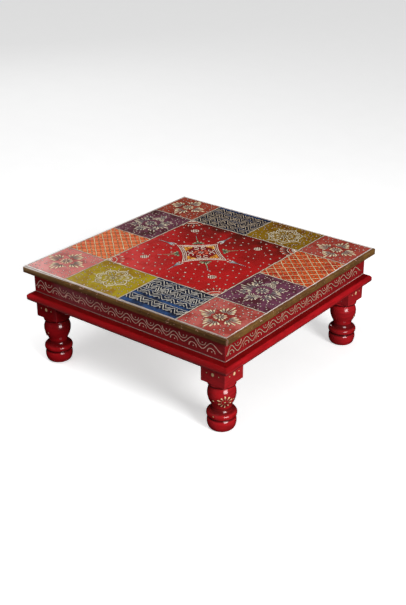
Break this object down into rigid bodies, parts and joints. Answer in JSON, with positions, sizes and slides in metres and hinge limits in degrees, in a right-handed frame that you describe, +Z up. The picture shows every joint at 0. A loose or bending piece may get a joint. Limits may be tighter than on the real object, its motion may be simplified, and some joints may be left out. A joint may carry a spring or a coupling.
{
  "type": "bajot low table",
  "caption": "Low square wooden table with a nosed patchwork-painted top, a painted apron over a rounded moulding, and short turned legs.",
  "frame": {"origin": "on the floor under the middle of the table", "axes": "+Z up, front of the table towards -Y, its right side towards +X"},
  "size_m": [0.386, 0.386, 0.161],
  "materials": {
    "board_paint": "patchwork of painted squares under satin lacquer, with a bronze-gold edge",
    "red_lacquer": "glossy crimson lacquer, rubbed darker in the hollows",
    "raised_paint": "raised cream paint lines and dots, matte",
    "bare_wood": "sawn and planed, unpainted",
    "screw_steel": "zinc plated"
  },
  "bodies": {
    "root": {"top_board": "board_paint", "apron_front": "red_lacquer", "apron_right": "red_lacquer", "apron_back": "red_lacquer", "apron_left": "red_lacquer", "moulding_front": "red_lacquer", "moulding_right": "red_lacquer", "moulding_back": "red_lacquer", "moulding_left": "red_lacquer", "leg_front_right": "red_lacquer", "leg_back_right": "red_lacquer", "leg_back_left": "red_lacquer", "leg_front_left": "red_lacquer", "cleat_front": "bare_wood", "cleat_right": "bare_wood", "cleat_back": "bare_wood", "cleat_left": "bare_wood", "centre_batten": "bare_wood", "board_screws": "screw_steel", "cleat_screws": "screw_steel", "leg_screws": "screw_steel", "moulding_screws": "screw_steel"}
  },
  "joints": []
}
